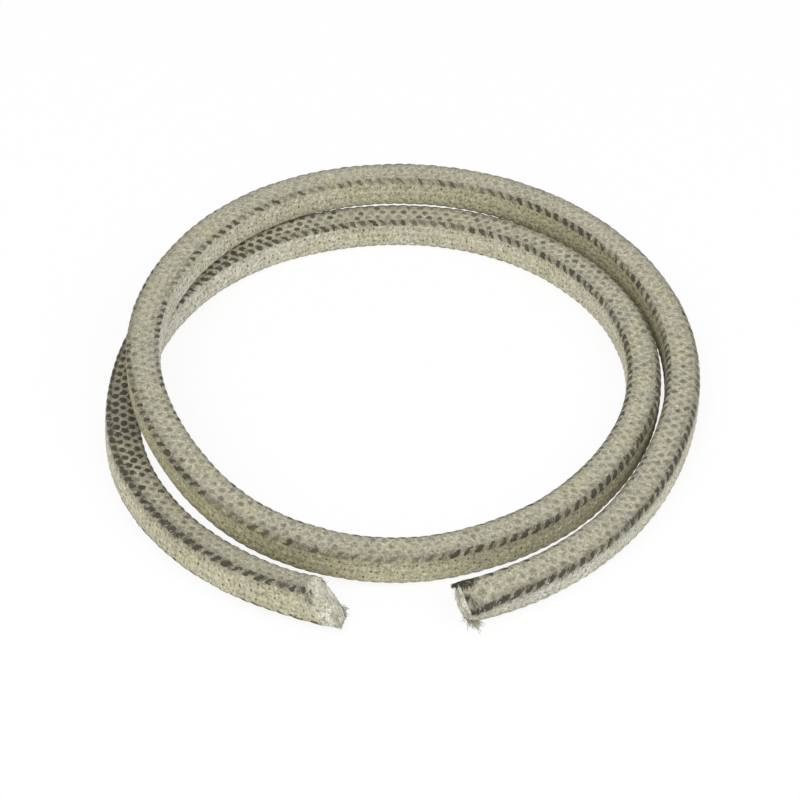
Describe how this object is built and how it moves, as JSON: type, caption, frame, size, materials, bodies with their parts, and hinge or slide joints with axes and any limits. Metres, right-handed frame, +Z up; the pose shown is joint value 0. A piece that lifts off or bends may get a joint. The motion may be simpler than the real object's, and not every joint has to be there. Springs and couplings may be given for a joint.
{
  "type": "gland packing",
  "caption": "Length of square braided gland packing lying as a loose open coil, its cut ends side by side; rings for a pump or valve stuffing box are cut from it.",
  "frame": {"origin": "middle of the coil, on the surface that it lies on", "axes": "+Z up out of the coil, +Y towards the back of the coil, away from its two cut ends, +X to the right"},
  "size_m": [0.1805, 0.1939, 0.0212],
  "materials": {
    "braided_fibre": "square braided yarn, dull, lubricated, with grey stain on the braid's crowns and corners"
  },
  "bodies": {
    "root": {"braided_packing": "braided_fibre"}
  },
  "joints": []
}
